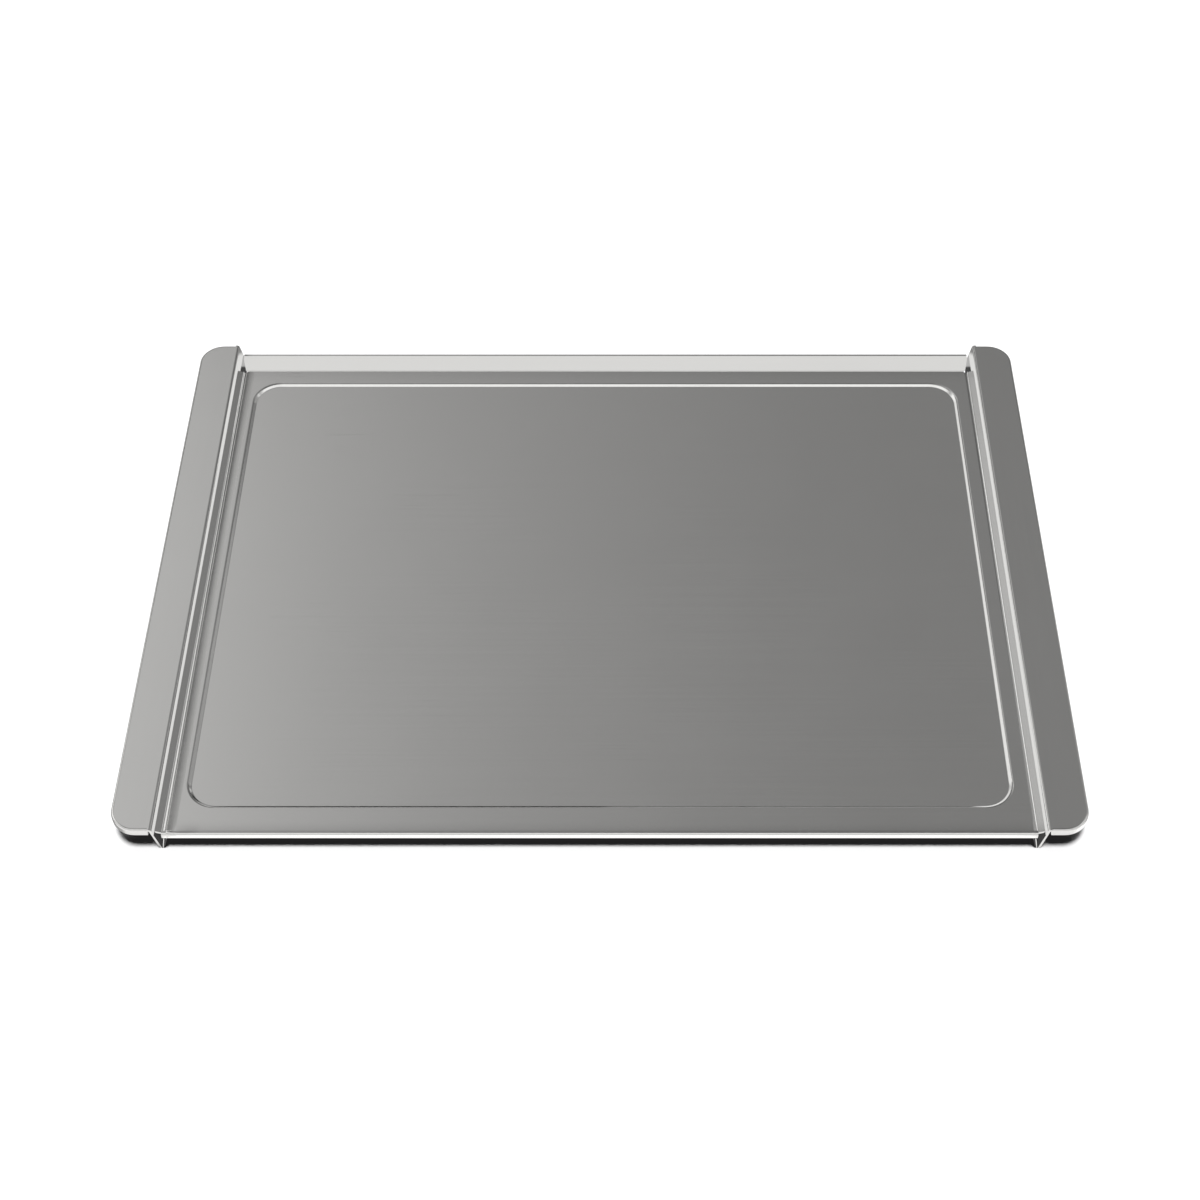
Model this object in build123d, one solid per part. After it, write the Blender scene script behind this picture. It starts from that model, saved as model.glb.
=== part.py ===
from build123d import *
import os
from math import cos, radians, sin, tan

# Cookie sheet of folded sheet metal, 460 x 330 mm.
# X runs across the tray, Y from the open front lip to the back rim, Z up.
# The origin is the middle of the outline, on the surface that the tray stands on.

# Overall sizes
overall_width = 460.0
overall_length = 330.0
sheet = 1.2
stand_height = 15.0
plate_drop = 3.3

# Side rails
wing_width = 19.4
wing_corner = 12.5
wing_lip = 4.1
wing_lip_bend = 0.1
wing_lip_relief = 0.7
wing_bend = 0.2
outer_lean = 11.2
inner_lean = 12.0
fold_bend = 0.3
seat_bend = 0.4
seat_width = 5.5
seat_front_gap = 2.0
leg_notch_gap = 0.4
tail_gap = 0.2

# Baking plate
lip_height = 3.3
lip_bend = 0.8
rim_height = 12.0
rim_bend = 0.5
rim_setback = 16.8
rim_side_reach = 0.7
rim_chamfer_across = 0.6
rim_chamfer_down = 2.4
side_end_gap = 0.3

# Gutter along each side of the baking plate
gutter_fall = 58.0
gutter_rise = 20.0
gutter_depth = 1.75
gutter_bend = 0.3
gutter_leg_gap = 0.1

# Pressed panel in the baking plate
panel_seat_gap = 0.8
panel_front_inset = 15.3
panel_back_inset = 9.6
panel_corner = 14.6
panel_depth = 1.5
panel_wall_angle = 45.0
panel_edge_round = 1.4
panel_floor_round = 0.4

# Resistance welds under the seats
weld_count = 7
weld_diameter = 3.2
weld_depth = 0.15
weld_end_margin = 18.0

# Overrun of bodies that cut or join, and the tolerance that finds edges at a level
overrun = 4.0
level_tolerance = 0.05

# Levels above the standing surface
wing_top = stand_height
plate_top = wing_top - plate_drop
plate_under = plate_top - sheet
lip_bottom = plate_top - lip_height
rim_top = plate_top + rim_height
seat_under = plate_under - sheet

# Places along the tray
front = -overall_length / 2
back = overall_length / 2
rim_face = back - rim_setback - sheet
side_start = front + lip_bend + sheet
side_end = rim_face - rim_bend - side_end_gap

half = sheet / 2


def fold_section(points, radii):
    """Section of one folded sheet about its middle line; radii are those of the middle line."""
    left = []
    right = []
    turns = []
    for index, point in enumerate(points):
        before = None if index == 0 else (point - points[index - 1]).normalized()
        after = None if index == len(points) - 1 else (points[index + 1] - point).normalized()
        if before is None or after is None:
            along = after if before is None else before
            across = Vector(-along.Y, along.X) * half
        else:
            turn = before.X * after.Y - before.Y * after.X
            turns.append(turn)
            bisector = (Vector(-before.Y, before.X) + Vector(-after.Y, after.X)).normalized()
            across = bisector * (half / bisector.dot(Vector(-before.Y, before.X)))
        left.append(point + across)
        right.append(point - across)
    left_radii = [r - half if turn > 0 else r + half for r, turn in zip(radii, turns)]
    right_radii = [r + half if turn > 0 else r - half for r, turn in zip(radii, turns)]
    with BuildSketch() as section:
        with BuildLine():
            FilletPolyline(*left, radius=left_radii)
            FilletPolyline(*right, radius=right_radii)
            Line(left[0], right[0])
            Line(left[-1], right[-1])
        make_face()
    return section.sketch


def along_tray(section, start, end):
    """Extrude a section drawn in X and Z from one Y to another."""
    plane = Plane(origin=(0, end, 0), x_dir=(1, 0, 0), z_dir=(0, -1, 0))
    return extrude(plane * section, amount=end - start)


def across_tray(section, reach):
    """Extrude a section drawn in Y and Z to both sides of the middle."""
    return extrude(Plane.YZ * section, amount=reach, both=True)


def block(low, high):
    """A box between two opposite corners."""
    size = [b - a for a, b in zip(low, high)]
    middle = [(a + b) / 2 for a, b in zip(low, high)]
    return Pos(*middle) * Box(*size)


# Middle line of the right rail's section, as X and Z
wing_bend_middle = wing_bend + half
fold_middle = fold_bend + half
seat_middle = seat_bend + half
wing_flat_start = overall_width / 2 - wing_width
wing_corner_x = wing_flat_start - wing_bend_middle * tan(radians(90 - outer_lean) / 2)
fold_half_angle = radians(outer_lean + inner_lean) / 2
fold_tilt = radians(inner_lean - outer_lean) / 2
fold_reach = fold_middle / sin(fold_half_angle)
fold_z = fold_middle + half - fold_reach * cos(fold_tilt)
fold_x = wing_corner_x - (wing_top - half - fold_z) * tan(radians(outer_lean))
fold_centre_x = fold_x - fold_reach * sin(fold_tilt)
seat_z = seat_under + half
seat_corner_x = fold_x - (seat_z - fold_z) * tan(radians(inner_lean))
seat_start_x = seat_corner_x - seat_middle * tan(radians(90 - inner_lean) / 2)
seat_end_x = seat_start_x - seat_width
lipped_wing_start = wing_flat_start + wing_lip_relief

# Middle line of the plate's side: round the rail's seat bend, down to the gutter and up to the outer leg
side_middle = seat_middle + sheet
gutter_middle = gutter_bend + half
plate_z = plate_under + half
side_corner_x = seat_start_x + side_middle * tan(radians(gutter_fall) / 2)
gutter_x = side_corner_x + gutter_depth / tan(radians(gutter_fall))
gutter_z = plate_z - gutter_depth
gutter_end_z = gutter_z + (wing_corner_x - gutter_x) * tan(radians(gutter_rise))
lip_end_x = seat_start_x + (side_middle + half) * sin(radians(gutter_fall))


def lipped_wing():
    """The flat top of a rail with a lip turned down round its outer edges."""
    outer_x = overall_width / 2
    with BuildSketch() as outline:
        with Locations(((lipped_wing_start + outer_x) / 2, 0)):
            Rectangle(outer_x - lipped_wing_start, overall_length)
        fillet(outline.vertices().group_by(Axis.X)[-1], wing_corner)
    skin = Pos(0, 0, wing_top - wing_lip) * extrude(outline.sketch, amount=wing_lip)
    top_edges = skin.edges().group_by(Axis.Z)[-1]
    side_edges = top_edges.filter_by(lambda edge: edge.center().X > lipped_wing_start + sheet)
    skin = fillet(side_edges, wing_lip_bend + sheet)
    with BuildSketch() as hollow_outline:
        with Locations(((lipped_wing_start - overrun + outer_x - sheet) / 2, 0)):
            Rectangle(outer_x - sheet - lipped_wing_start + overrun, overall_length - 2 * sheet)
        fillet(hollow_outline.vertices().group_by(Axis.X)[-1], wing_corner - sheet)
    hollow_base = wing_top - wing_lip - overrun
    hollow = Pos(0, 0, hollow_base) * extrude(hollow_outline.sketch, amount=wing_lip + overrun - sheet)
    hollow_edges = hollow.edges().group_by(Axis.Z)[-1]
    hollow_sides = hollow_edges.filter_by(lambda edge: edge.center().X > lipped_wing_start)
    hollow = fillet(hollow_sides, wing_lip_bend)
    return skin - hollow


def right_rail():
    """Wing, V-shaped runner and seat, folded from one strip."""
    points = [
        Vector(lipped_wing_start, wing_top - half),
        Vector(wing_corner_x, wing_top - half),
        Vector(fold_x, fold_z),
        Vector(seat_corner_x, seat_z),
        Vector(seat_end_x, seat_z),
    ]
    section = fold_section(points, [wing_bend_middle, fold_middle, seat_middle])
    rail = along_tray(section, front, back) + lipped_wing()
    # The seat and the upper part of the inner leg stop behind the plate's front lip.
    rail -= block(
        (seat_end_x - overrun, front - overrun, lip_bottom - leg_notch_gap),
        (fold_centre_x, front + seat_front_gap, plate_top),
    )
    # Past the plate's back rim only the outer leg and the wing go on.
    rail -= block(
        (seat_end_x - overrun, side_end + tail_gap, -overrun),
        (fold_centre_x, back + overrun, plate_top + overrun),
    )
    first = front + seat_front_gap + weld_end_margin
    last = side_end - weld_end_margin
    weld_x = (seat_start_x + seat_end_x) / 2
    for index in range(weld_count):
        weld_y = first + (last - first) * index / (weld_count - 1)
        mark = Cylinder(weld_diameter / 2, 2 * weld_depth)
        rail -= Pos(weld_x, weld_y, seat_under) * mark
    return rail


def leg_face_x(level):
    """Where the channel side of the right rail's outer leg is at a level."""
    lean = radians(outer_lean)
    return fold_x + (level - fold_z) * tan(lean) - half / cos(lean)


def plate_side():
    """The right edge of the plate: a bend down to a shallow gutter that rises to the rail's outer leg."""
    points = [
        Vector(seat_start_x - overrun, plate_z),
        Vector(side_corner_x, plate_z),
        Vector(gutter_x, gutter_z),
        Vector(wing_corner_x, gutter_end_z),
    ]
    section = fold_section(points, [side_middle, gutter_middle])
    side = along_tray(section, side_start, rim_face + sheet)
    # The flat start of the section belongs to the plate.
    side -= block(
        (seat_start_x - 2 * overrun, front, gutter_z - overrun),
        (seat_start_x, back, plate_top + overrun),
    )
    # Beside the back rim a notch relieves the corner between the gutter and the rim.
    side -= block(
        (seat_start_x - overrun, side_end, gutter_z - overrun),
        (gutter_x, back, plate_top + overrun),
    )
    # The gutter's edge leans like the leg and stops just short of it.
    beyond_leg = Polyline(
        (leg_face_x(fold_z) - gutter_leg_gap, fold_z),
        (leg_face_x(wing_top) - gutter_leg_gap, wing_top),
        (overall_width / 2, wing_top),
        (overall_width / 2, fold_z),
        close=True,
    )
    return side - along_tray(make_face(beyond_leg), front, back)


def tapered_panel(outline_x, outline_y, centre_y, radius, top):
    """A shallow block with rounded corners whose walls lean in towards its floor."""
    with BuildSketch() as outline:
        with Locations((0, centre_y)):
            RectangleRounded(outline_x, outline_y, radius)
    body = extrude(outline.sketch, amount=-panel_depth, taper=panel_wall_angle)
    return Pos(0, 0, top) * body


def pressed_panel(plate):
    """Press the shallow panel into the flat plate."""
    panel_front = front + panel_front_inset
    panel_back = rim_face - panel_back_inset
    length = panel_back - panel_front
    width = 2 * (seat_end_x - panel_seat_gap)
    centre = (panel_back + panel_front) / 2
    wall_shift = sheet * tan(radians(90 - panel_wall_angle) / 2)
    plate += tapered_panel(
        width + 2 * wall_shift, length + 2 * wall_shift, centre, panel_corner + wall_shift, plate_under
    )
    plate -= tapered_panel(width, length, centre, panel_corner, plate_top)
    inside = width / 2 + 2 * wall_shift

    def panel_edges(level):
        flat = plate.edges().filter_by_position(Axis.Z, level - level_tolerance, level + level_tolerance)
        return flat.filter_by(
            lambda edge: abs(edge.center().X) < inside
            and panel_front - 2 * wall_shift < edge.center().Y < panel_back + 2 * wall_shift
        )

    plate = fillet(panel_edges(plate_top), panel_edge_round)
    plate = fillet(panel_edges(plate_top - panel_depth), panel_floor_round)
    plate = fillet(panel_edges(plate_under), panel_edge_round - sheet)
    plate = fillet(panel_edges(plate_under - panel_depth), panel_floor_round + sheet)
    return plate


def lip_end():
    """The front lip's right end, which reaches past the flat plate."""
    lip_middle = lip_bend + half
    points = [
        Vector(front + half, lip_bottom),
        Vector(front + half, plate_z),
        Vector(front + half + 2 * lip_middle, plate_z),
    ]
    start = Plane.YZ.offset(seat_start_x)
    end = extrude(start * fold_section(points, [lip_middle]), amount=lip_end_x - seat_start_x)
    return end - block(
        (seat_start_x - overrun, side_start, lip_bottom - overrun),
        (lip_end_x + overrun, back, plate_top + overrun),
    )


def rim_end():
    """The back rim's right end, which stands a little past the flat plate, with its top corner cut off."""
    rim_end_x = seat_start_x + rim_side_reach
    end = block((seat_start_x, rim_face, plate_top + rim_bend), (rim_end_x, rim_face + sheet, rim_top))
    chamfer_face = Polyline(
        (rim_end_x - rim_chamfer_across, rim_top),
        (rim_end_x, rim_top),
        (rim_end_x, rim_top - rim_chamfer_down),
        close=True,
    )
    return end - along_tray(make_face(chamfer_face), rim_face - overrun, back)


def baking_plate():
    """Plate with a front lip turned down, a back rim turned up and a gutter along each side."""
    points = [
        Vector(front + half, lip_bottom),
        Vector(front + half, plate_z),
        Vector(rim_face + half, plate_z),
        Vector(rim_face + half, rim_top),
    ]
    section = fold_section(points, [lip_bend + half, rim_bend + half])
    plate = pressed_panel(across_tray(section, seat_start_x))
    for addition in (plate_side(), lip_end(), rim_end()):
        plate += addition
        plate += mirror(addition, about=Plane.YZ)
    return plate


os.makedirs("parts", exist_ok=True)
rail = right_rail()
pieces = {
    "baking_plate": baking_plate(),
    "left_side_rail": mirror(rail, about=Plane.YZ),
    "right_side_rail": rail,
}
for name, shape in pieces.items():
    export_step(shape, f"parts/{name}.step")
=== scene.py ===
from math import radians

import bpy
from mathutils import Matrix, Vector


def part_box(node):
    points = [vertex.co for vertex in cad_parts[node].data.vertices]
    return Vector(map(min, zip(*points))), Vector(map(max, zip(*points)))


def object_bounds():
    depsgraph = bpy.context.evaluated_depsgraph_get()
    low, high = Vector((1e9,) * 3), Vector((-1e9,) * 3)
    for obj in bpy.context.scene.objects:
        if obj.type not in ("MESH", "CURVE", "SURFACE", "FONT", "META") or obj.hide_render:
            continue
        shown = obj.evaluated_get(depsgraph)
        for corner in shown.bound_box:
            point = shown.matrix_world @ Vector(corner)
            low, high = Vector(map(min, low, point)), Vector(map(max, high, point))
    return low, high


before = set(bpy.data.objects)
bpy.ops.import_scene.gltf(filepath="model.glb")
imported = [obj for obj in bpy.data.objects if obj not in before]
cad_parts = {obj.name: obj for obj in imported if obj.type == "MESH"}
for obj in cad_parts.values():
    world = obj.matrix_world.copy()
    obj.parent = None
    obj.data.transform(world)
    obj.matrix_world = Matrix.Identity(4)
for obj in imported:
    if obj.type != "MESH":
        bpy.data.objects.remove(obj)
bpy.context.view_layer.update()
tray_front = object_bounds()[0][1]
plate_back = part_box("baking_plate")[1][1]
rim_height = 0.012
plate_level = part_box("baking_plate")[1][2] - rim_height

# Camera: straight in front of the open edge, 50 degrees above the tray
camera_place = (0.0158, -0.6888, 0.8063)
camera_pitch = radians(50)
camera_focal_length = 60.66
camera_sensor = 36
camera_shift = -0.0279

# Floor: its own white, and how bright it is in mirrored rays on each side of the tray
floor_half_size = 6.0
floor_white = 0.92
floor_mirrored = 0.98
front_mirrored = 1.5
wing_front_mirrored = 1.12
left_mirrored = 0.45
right_mirrored = 1.5
outer_mirrored = 0.3
beside_plate = 0.207
beside_tray_back = 0.118
outer_side = 0.24
outer_back = 0.175

# Shade under the tray in mirrored rays: its ends on the left half and on the right half
shade_left = -0.19
shade_right = 0.182
shade_back_on_left = 0.10
shade_back_on_right = -0.11
shade_soft = 0.004
shade_front_soft = 0.008
edge_soft = 0.001

# Roof of the light tent: greys by how far a direction leans to the left or right
roof_reach = 0.7
roof_greys = [
    (-0.62, 0.15), (-0.50, 0.22), (-0.43, 0.40), (-0.385, 0.82), (-0.31, 0.84), (-0.26, 0.92),
    (-0.18, 0.665), (-0.13, 0.56), (-0.065, 0.485), (0.0, 0.42), (0.07, 0.365), (0.13, 0.335),
    (0.22, 0.33), (0.37, 0.35), (0.52, 0.36), (0.62, 0.25),
]
overhead_share = 0.68
overhead_from = 0.2
overhead_to = 0.5

# Walls of the tent: brightness, heights above the horizon, and turns from the back wall's middle
back_band_light = 0.17
back_band_heights = (radians(14), radians(37))
back_wall_end = (radians(44), radians(50))
left_wall_light = 1.6
right_wall_light = 0.5
side_wall_start = (radians(46), radians(52))
side_wall_top = (radians(48), radians(56))
right_wall_end = (radians(68), radians(76))
front_band_light = 0.55
front_band_heights = (radians(9), radians(35))
front_band_start = (radians(72), radians(84))
ahead_band_light = 0.9
ahead_band_start = (radians(150), radians(162))
skirting_light = 1.45
skirting_top = (radians(6), radians(11))
skirting_fall = radians(9)
left_foot_light = 0.55
left_foot_turns = (radians(40), radians(100))
left_foot_top = (radians(4), radians(8))
band_soft = radians(2)
foot_soft = radians(4)
bounce_share = 0.03

# Lamps: strength, spread and tilt from straight down, towards the back rim
front_lamp = (3.35, radians(15), radians(7))
wide_lamp = (1.1, radians(64), radians(-38))

# Steel
sheet_tint = (0.71, 0.705, 0.69)
sheet_roughness = 0.185
grain_along = 7.0
grain_across = 900.0
grain_detail = 3.0
smudge_scale = 24.0
smudge_detail = 4.0
cloud_scale = 6.0
cloud_detail = 2.0
noise_middle = (0.25, 0.75)
grain_tone = 0.012
cloud_tone = 0.01
smudge_tone = 0.008
hairline_tone = 0.03
grain_roughness = 0.02
hairline_roughness = 0.05
grain_relief = 0.0000006
hairline_relief = 0.000002
cloud_relief = 0.00004

# Hairline scratches in two directions: their turn, and how far their patches are widened
first_hairlines = (radians(12), 0.0)
second_hairlines = (radians(-63), 0.03)
hairline_stretch = (25.0, 1400.0, 1400.0)
hairline_cut = (0.68, 0.74)
patch_scale = 30.0
patch_cut = (0.62, 0.66)

# Bow of the plate beside its left gutter and behind its front lip
side_bow_start = 0.1986
side_bow_width = 0.0044
side_lean = 0.115
side_curve = 8.0
side_edge_drop = 0.00005
side_edge_power = 6.0
front_bow_start = -0.1562
front_bow_width = 0.0076
front_bow_drop = 0.0005
front_bow_left = -0.201
front_bow_fade = 0.014

# Painted shade inside the runners and on the front end of their inner legs: darker, less metallic
# and rougher there
runner_fold_x = 0.20648
runner_fold_z = 0.0015
runner_slope = 0.205
runner_inside = (0.0003, 0.0006)
runner_shade_top = 0.0115
runner_shade_soft = 0.001
tail_start = 0.1462
tail_soft = 0.0005
tail_shade_top = 0.0085
tail_slant = 1.04
tail_shade_fade = (0.1622, 0.1642)
tail_share = 0.35
leg_end_depth = (0.003, 0.004)
leg_end_edge = (-0.0010, -0.0007)
runner_darkness = 0.97
runner_dullness = 0.6

# Painted shade: faint darkening of the plate in the corner under the back rim
rim_shade_reach = 0.011
rim_shade_end = 0.0015
rim_shade_tone = 0.92
rim_shade_rise = (0.0004, 0.0012)


def maths(tree, operation, first, second=0.0):
    """A math node whose inputs are numbers or other nodes' outputs."""
    made = tree.nodes.new("ShaderNodeMath")
    made.operation = operation
    for socket, value in zip(made.inputs, (first, second)):
        if isinstance(value, (int, float)):
            socket.default_value = value
        else:
            tree.links.new(value, socket)
    return made.outputs[0]


def product(tree, first, second):
    """The first value times the second."""
    return maths(tree, "MULTIPLY", first, second)


def total(tree, first, second):
    """The first value plus the second."""
    return maths(tree, "ADD", first, second)


def less(tree, first, second):
    """The first value less the second."""
    return maths(tree, "SUBTRACT", first, second)


def carry(tree, value, ends, start, end, smooth=True):
    """Carry a value from one range to another, smoothly or in a straight line."""
    made = tree.nodes.new("ShaderNodeMapRange")
    made.interpolation_type = "SMOOTHSTEP" if smooth else "LINEAR"
    tree.links.new(value, made.inputs["Value"])
    made.inputs["From Min"].default_value = ends[0]
    made.inputs["From Max"].default_value = ends[1]
    made.inputs["To Min"].default_value = start
    made.inputs["To Max"].default_value = end
    return made.outputs["Result"]


def rise(tree, value, ends):
    """Zero before a short range and one after it."""
    return carry(tree, value, ends, 0.0, 1.0)


def fall(tree, value, ends):
    """One before a short range and zero after it."""
    return carry(tree, value, ends, 1.0, 0.0)


def window(tree, value, ends, soft):
    """One inside a range, zero outside it, with soft edges."""
    low, high = ends
    opened = rise(tree, value, (low - soft, low + soft))
    closed = fall(tree, value, (high - soft, high + soft))
    return product(tree, opened, closed)


def lay_light(tree, under, mask, strength):
    """Lay one plain brightness over another light where a mask says so."""
    mix = tree.nodes.new("ShaderNodeMix")
    mix.data_type = "FLOAT"
    tree.links.new(mask, mix.inputs["Factor"])
    tree.links.new(under, mix.inputs["A"])
    mix.inputs["B"].default_value = strength
    return mix.outputs["Result"]


def roof_light(tree, across, away):
    """Greys across the roof, brighter on the left, and dimmer overhead than towards the back."""
    spread = carry(tree, across, (-roof_reach, roof_reach), 0.0, 1.0, smooth=False)
    ramp = tree.nodes.new("ShaderNodeValToRGB")
    stops = ramp.color_ramp.elements
    while len(stops) < len(roof_greys):
        stops.new(0.5)
    for stop, (lean, grey) in zip(stops, roof_greys):
        stop.position = (lean + roof_reach) / (2 * roof_reach)
        stop.color = (grey, grey, grey, 1)
    tree.links.new(spread, ramp.inputs["Fac"])
    overhead = carry(tree, away, (overhead_from, overhead_to), overhead_share, 1.0)
    return product(tree, ramp.outputs["Color"], overhead)


def studio():
    """A light tent: light walls round the tray, and a grey roof that the flat sheet mirrors."""
    world = bpy.data.worlds.new("studio")
    bpy.context.scene.world = world
    world.use_nodes = True
    # Found by bounced rays alone, so that the small share left to them keeps the tray's shadow dark
    world.cycles.sampling_method = "NONE"
    tree = world.node_tree
    tree.nodes.clear()
    split = tree.nodes.new("ShaderNodeSeparateXYZ")
    tree.links.new(tree.nodes.new("ShaderNodeTexCoord").outputs["Generated"], split.inputs[0])
    across, away, up = split.outputs
    turned = maths(tree, "ABSOLUTE", maths(tree, "ARCTAN2", across, away))
    height = maths(tree, "ARCSINE", up)
    light = roof_light(tree, across, away)

    back_band = window(tree, height, back_band_heights, band_soft)
    back_band = product(tree, back_band, fall(tree, turned, back_wall_end))
    light = lay_light(tree, light, back_band, back_band_light)

    side_walls = rise(tree, turned, side_wall_start)
    side_walls = product(tree, side_walls, fall(tree, height, side_wall_top))
    light = lay_light(tree, light, side_walls, left_wall_light)
    on_left = maths(tree, "LESS_THAN", across, 0.0)
    off_right = maths(tree, "MAXIMUM", on_left, rise(tree, turned, right_wall_end))
    right_wall = product(tree, side_walls, less(tree, 1.0, off_right))
    light = lay_light(tree, light, right_wall, right_wall_light)

    front_band = window(tree, height, front_band_heights, band_soft)
    front_band = product(tree, front_band, rise(tree, turned, front_band_start))
    light = lay_light(tree, light, front_band, front_band_light)
    ahead_band = product(tree, front_band, rise(tree, turned, ahead_band_start))
    light = lay_light(tree, light, ahead_band, ahead_band_light)

    slanted_height = total(tree, height, product(tree, across, skirting_fall))
    light = lay_light(tree, light, fall(tree, slanted_height, skirting_top), skirting_light)
    left_foot = product(tree, window(tree, turned, left_foot_turns, foot_soft), on_left)
    left_foot = product(tree, left_foot, fall(tree, height, left_foot_top))
    light = lay_light(tree, light, left_foot, left_foot_light)

    path = tree.nodes.new("ShaderNodeLightPath")
    bounced = maths(tree, "GREATER_THAN", path.outputs["Diffuse Depth"], 0.0)
    light = product(tree, light, less(tree, 1.0, product(tree, bounced, 1.0 - bounce_share)))
    light = lay_light(tree, light, path.outputs["Is Camera Ray"], 1.0)
    shader = tree.nodes.new("ShaderNodeBackground")
    output = tree.nodes.new("ShaderNodeOutputWorld")
    tree.links.new(light, shader.inputs["Strength"])
    tree.links.new(shader.outputs[0], output.inputs["Surface"])


def lamp(name, strength, spread, tilt):
    """A soft light that gives the floor its shadow; the sheet doesn't mirror it."""
    light = bpy.data.lights.new(name, "SUN")
    light.energy = strength
    light.angle = spread
    # Otherwise bounced rays would meet the lamp through the tray and wash out its shadow
    light.cycles.use_multiple_importance_sampling = False
    made = bpy.data.objects.new(name, light)
    made.rotation_euler = (tilt, 0, 0)
    made.visible_glossy = False
    bpy.context.scene.collection.objects.link(made)


def object_place(tree):
    """The three Object coordinates of a surface."""
    split = tree.nodes.new("ShaderNodeSeparateXYZ")
    tree.links.new(tree.nodes.new("ShaderNodeTexCoord").outputs["Object"], split.inputs[0])
    return split.outputs


def mirrored_floor(tree):
    """Painted brightness and shade of the floor in mirrored rays, by its place about the tray."""
    across, along, _ = object_place(tree)
    middle = (-shade_soft, shade_soft)
    shade_end = carry(tree, across, middle, shade_back_on_left, shade_back_on_right)
    shade = fall(tree, less(tree, along, shade_end), (-shade_soft, shade_soft))
    shade = product(tree, shade, rise(tree, along, (tray_front, tray_front + shade_front_soft)))
    shade = product(tree, shade, window(tree, across, (shade_left, shade_right), shade_soft))
    bright = product(tree, less(tree, 1.0, shade), floor_mirrored)

    beside = fall(tree, along, (beside_tray_back - shade_soft, beside_tray_back))
    on_left = fall(tree, across, (-beside_plate - edge_soft, -beside_plate))
    on_right = rise(tree, across, (beside_plate, beside_plate + shade_soft))
    bright = lay_light(tree, bright, product(tree, on_left, beside), left_mirrored)
    bright = lay_light(tree, bright, product(tree, on_right, beside), right_mirrored)

    inner = window(tree, across, (-outer_side, outer_side), edge_soft)
    inner = product(tree, inner, fall(tree, along, (outer_back, outer_back + shade_soft)))
    outer = rise(tree, along, (tray_front, tray_front + shade_soft))
    outer = product(tree, less(tree, 1.0, inner), outer)
    bright = lay_light(tree, bright, outer, outer_mirrored)
    ahead = fall(tree, along, (tray_front - shade_soft, tray_front))
    before_plate = window(tree, across, (-beside_plate, beside_plate), edge_soft)
    bright = lay_light(tree, bright, ahead, wing_front_mirrored)
    return lay_light(tree, bright, product(tree, ahead, before_plate), front_mirrored)


def floor():
    """A white floor that keeps the tray's shadow; in mirrored rays it glows with painted light and
    shade laid out about the tray.
    """
    bpy.ops.mesh.primitive_plane_add(size=2 * floor_half_size)
    made = bpy.context.object
    made.name = "floor"
    material = bpy.data.materials.new("floor_white")
    material.use_nodes = True
    tree = material.node_tree
    shader = tree.nodes["Principled BSDF"]
    shader.inputs["Base Color"].default_value = (floor_white, floor_white, floor_white, 1)
    shader.inputs["Roughness"].default_value = 1.0
    shader.inputs["Specular IOR Level"].default_value = 0.0
    path = tree.nodes.new("ShaderNodeLightPath")
    unbounced = maths(tree, "LESS_THAN", path.outputs["Diffuse Depth"], 1.0)
    mirrored = product(tree, path.outputs["Is Glossy Ray"], unbounced)
    mirror_look = tree.nodes.new("ShaderNodeEmission")
    tree.links.new(mirrored_floor(tree), mirror_look.inputs["Strength"])
    look = tree.nodes.new("ShaderNodeMixShader")
    tree.links.new(mirrored, look.inputs["Fac"])
    tree.links.new(shader.outputs[0], look.inputs[1])
    tree.links.new(mirror_look.outputs[0], look.inputs[2])
    tree.links.new(look.outputs[0], tree.nodes["Material Output"].inputs["Surface"])
    made.data.materials.append(material)


def noise(tree, scale=1.0, detail=1.0, stretch=(1.0, 1.0, 1.0), turn=0.0):
    """Noise on Object coordinates, in a scale per metre, stretched and turned about Z."""
    coordinates = tree.nodes.new("ShaderNodeTexCoord")
    mapping = tree.nodes.new("ShaderNodeMapping")
    mapping.inputs["Scale"].default_value = stretch
    mapping.inputs["Rotation"].default_value = (0, 0, turn)
    made = tree.nodes.new("ShaderNodeTexNoise")
    made.inputs["Scale"].default_value = scale
    made.inputs["Detail"].default_value = detail
    tree.links.new(coordinates.outputs["Object"], mapping.inputs["Vector"])
    tree.links.new(mapping.outputs["Vector"], made.inputs["Vector"])
    return made.outputs["Fac"]


def spread_about(tree, value, middle, reach):
    """Carry the middle half of a noise to a range about a middle value."""
    return carry(tree, value, noise_middle, middle - reach, middle + reach, smooth=False)


def scratches(tree, turn, share):
    """Fine hairline scratches in one direction, in patches."""
    lines = noise(tree, stretch=hairline_stretch, turn=turn)
    patches = noise(tree, scale=patch_scale)
    low, high = patch_cut
    here = rise(tree, patches, (low - share, high - share))
    return product(tree, rise(tree, lines, hairline_cut), here)


def plate_bow(tree):
    """How far the plate falls away beside its left gutter and behind its front lip."""
    across, along, _ = object_place(tree)
    beside = less(tree, product(tree, across, -1.0), side_bow_start)
    beside = maths(tree, "MINIMUM", maths(tree, "MAXIMUM", beside, 0.0), side_bow_width)
    side_drop = product(tree, beside, total(tree, product(tree, beside, side_curve), side_lean))
    edge = maths(tree, "POWER", maths(tree, "DIVIDE", beside, side_bow_width), side_edge_power)
    side_drop = total(tree, side_drop, product(tree, edge, side_edge_drop))
    ahead = maths(tree, "DIVIDE", less(tree, front_bow_start, along), front_bow_width)
    ahead = maths(tree, "MINIMUM", maths(tree, "MAXIMUM", ahead, 0.0), 1.0)
    front_drop = product(tree, product(tree, ahead, ahead), front_bow_drop)
    inwards = rise(tree, across, (front_bow_left, front_bow_left + front_bow_fade))
    return total(tree, side_drop, product(tree, front_drop, inwards))


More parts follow.
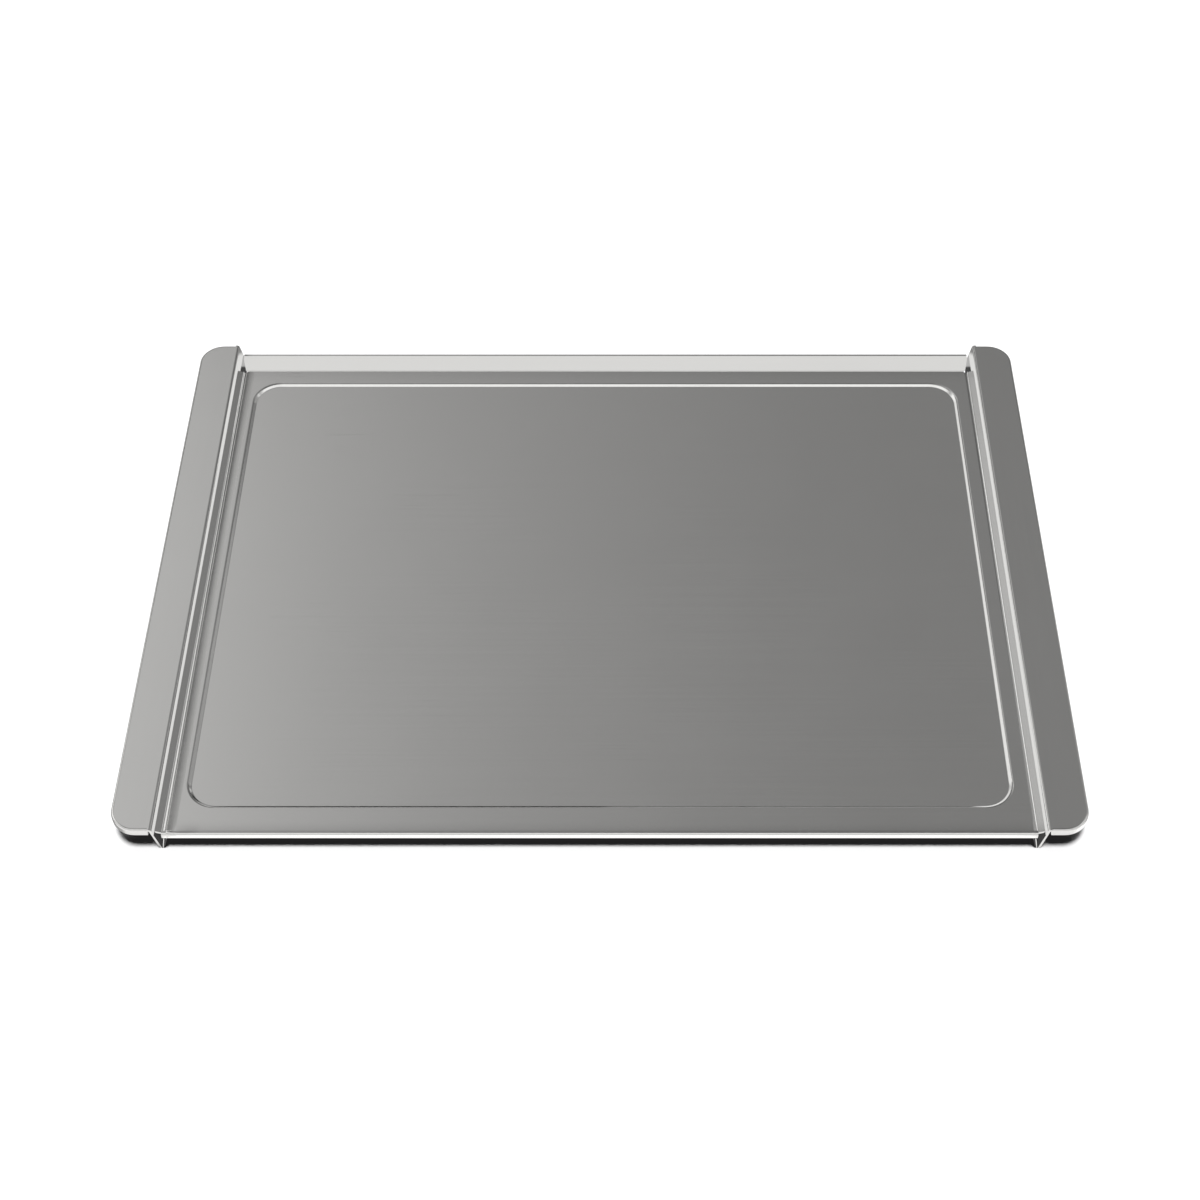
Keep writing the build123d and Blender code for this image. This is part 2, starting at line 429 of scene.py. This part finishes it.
def painted_rim_shade(tree):
    """Share of its tone that the plate keeps under the painted shade in the corner under the back
    rim.
    """
    _, along, up = object_place(tree)
    corner = (plate_back - rim_shade_reach, plate_back - rim_shade_end)
    near = carry(tree, along, corner, 1.0, rim_shade_tone)
    on_rim = rise(tree, up, (plate_level + rim_shade_rise[0], plate_level + rim_shade_rise[1]))
    return maths(tree, "MAXIMUM", near, on_rim)


def runner_shade(tree):
    """Share of its tone that a rail keeps under painted shade: little inside its narrow runner and
    on the front end of its inner legs.
    """
    across, along, up = object_place(tree)
    outward = less(tree, maths(tree, "ABSOLUTE", across), runner_fold_x)
    legs = product(tree, less(tree, up, runner_fold_z), runner_slope)
    inside = fall(tree, less(tree, maths(tree, "ABSOLUTE", outward), legs), runner_inside)
    top = carry(tree, along, (tail_start, tail_start + tail_soft), runner_shade_top, tail_shade_top)
    deep = fall(tree, less(tree, up, top), (-runner_shade_soft, 0.0))
    back = total(tree, along, product(tree, up, tail_slant))
    shade = product(tree, inside, deep)
    # The painted shade thins towards the runner's open back end
    shade = product(tree, shade, carry(tree, back, tail_shade_fade, 1.0, tail_share))
    # Painted shade on the front end of each inner leg, below the plate's lip
    leg_end = fall(tree, along, (tray_front + leg_end_depth[0], tray_front + leg_end_depth[1]))
    leg_end = product(tree, leg_end, fall(tree, total(tree, outward, legs), leg_end_edge))
    shade = maths(tree, "MAXIMUM", shade, leg_end)
    return less(tree, 1.0, product(tree, shade, runner_darkness))


def rolled_steel(name, grain_stretch):
    """Bright rolled steel: a fine grain, faint smudges and hairline scratches from use."""
    material = bpy.data.materials.new(name)
    material.use_nodes = True
    tree = material.node_tree
    shader = tree.nodes["Principled BSDF"]
    shader.inputs["Metallic"].default_value = 1.0
    grain = noise(tree, detail=grain_detail, stretch=grain_stretch)
    smudges = noise(tree, smudge_scale, smudge_detail)
    clouds = noise(tree, cloud_scale, cloud_detail)
    hairlines = scratches(tree, *first_hairlines)
    hairlines = maths(tree, "MAXIMUM", hairlines, scratches(tree, *second_hairlines))

    tone = spread_about(tree, grain, 1.0, grain_tone)
    tone = product(tree, tone, spread_about(tree, clouds, 1.0, cloud_tone))
    tone = product(tree, tone, spread_about(tree, smudges, 1.0, smudge_tone))
    tone = less(tree, tone, product(tree, hairlines, hairline_tone))
    rough = spread_about(tree, grain, sheet_roughness, grain_roughness)
    rough = total(tree, rough, spread_about(tree, smudges, 0.0, grain_roughness))
    rough = total(tree, rough, product(tree, hairlines, hairline_roughness))
    relief = product(tree, grain, grain_relief)
    relief = less(tree, relief, product(tree, hairlines, hairline_relief))
    relief = total(tree, relief, product(tree, clouds, cloud_relief))
    return material, tone, rough, relief


def finish_steel(material, tone, rough, relief):
    """Link the tone, roughness and relief of a steel to its shader."""
    tree = material.node_tree
    shader = tree.nodes["Principled BSDF"]
    colour = tree.nodes.new("ShaderNodeVectorMath")
    colour.operation = "SCALE"
    colour.inputs[0].default_value = sheet_tint
    bump = tree.nodes.new("ShaderNodeBump")
    bump.inputs["Strength"].default_value = 1.0
    bump.inputs["Distance"].default_value = 1.0
    tree.links.new(tone, colour.inputs["Scale"])
    tree.links.new(colour.outputs[0], shader.inputs["Base Color"])
    tree.links.new(rough, shader.inputs["Roughness"])
    tree.links.new(relief, bump.inputs["Height"])
    tree.links.new(bump.outputs["Normal"], shader.inputs["Normal"])
    return material


def plate_finish():
    """Steel with its grain across the tray, slightly bowed, and darkened by painted shade in the
    corner under the rim.
    """
    grain_stretch = (grain_along, grain_across, grain_across)
    material, tone, rough, relief = rolled_steel("plate_finish", grain_stretch)
    tree = material.node_tree
    # Painted shade in the corner under the back rim darkens the plate's tone
    tone = product(tree, tone, painted_rim_shade(tree))
    relief = less(tree, relief, plate_bow(tree))
    return finish_steel(material, tone, rough, relief)


def rail_finish(name):
    """Steel with its grain along the rail, darker, less metallic and rougher under painted shade
    inside the runner.
    """
    grain_stretch = (grain_across, grain_along, grain_across)
    material, tone, rough, relief = rolled_steel(name, grain_stretch)
    tree = material.node_tree
    # Painted shade: the share of tone kept also sets how metallic the rail is and adds roughness
    unshaded_share = runner_shade(tree)
    tone = product(tree, tone, unshaded_share)
    rough = total(tree, rough, product(tree, less(tree, 1.0, unshaded_share), runner_dullness))
    tree.links.new(unshaded_share, tree.nodes["Principled BSDF"].inputs["Metallic"])
    return finish_steel(material, tone, rough, relief)


def camera():
    """A camera at the photograph's viewing angle."""
    lens = bpy.data.cameras.new("camera")
    lens.lens = camera_focal_length
    lens.sensor_width = camera_sensor
    lens.shift_x = camera_shift
    made = bpy.data.objects.new("camera", lens)
    made.location = camera_place
    made.rotation_euler = (radians(90) - camera_pitch, 0, 0)
    bpy.context.scene.collection.objects.link(made)
    bpy.context.scene.camera = made


studio()
lamp("front_lamp", *front_lamp)
lamp("wide_lamp", *wide_lamp)
floor()
camera()

# The photographed tray shows no mirror images of its own folds, and its shadow is nearly black,
# so mirrored and bounced rays pass through its nodes
finishes = {
    "baking_plate": plate_finish(),
    "left_side_rail": rail_finish("left_side_rail_finish"),
    "right_side_rail": rail_finish("right_side_rail_finish"),
}
for name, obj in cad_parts.items():
    for place in obj.material_slots:
        place.material = finishes[name]
    obj.visible_glossy = False
    obj.visible_diffuse = False

bpy.context.scene.view_settings.view_transform = "Standard"
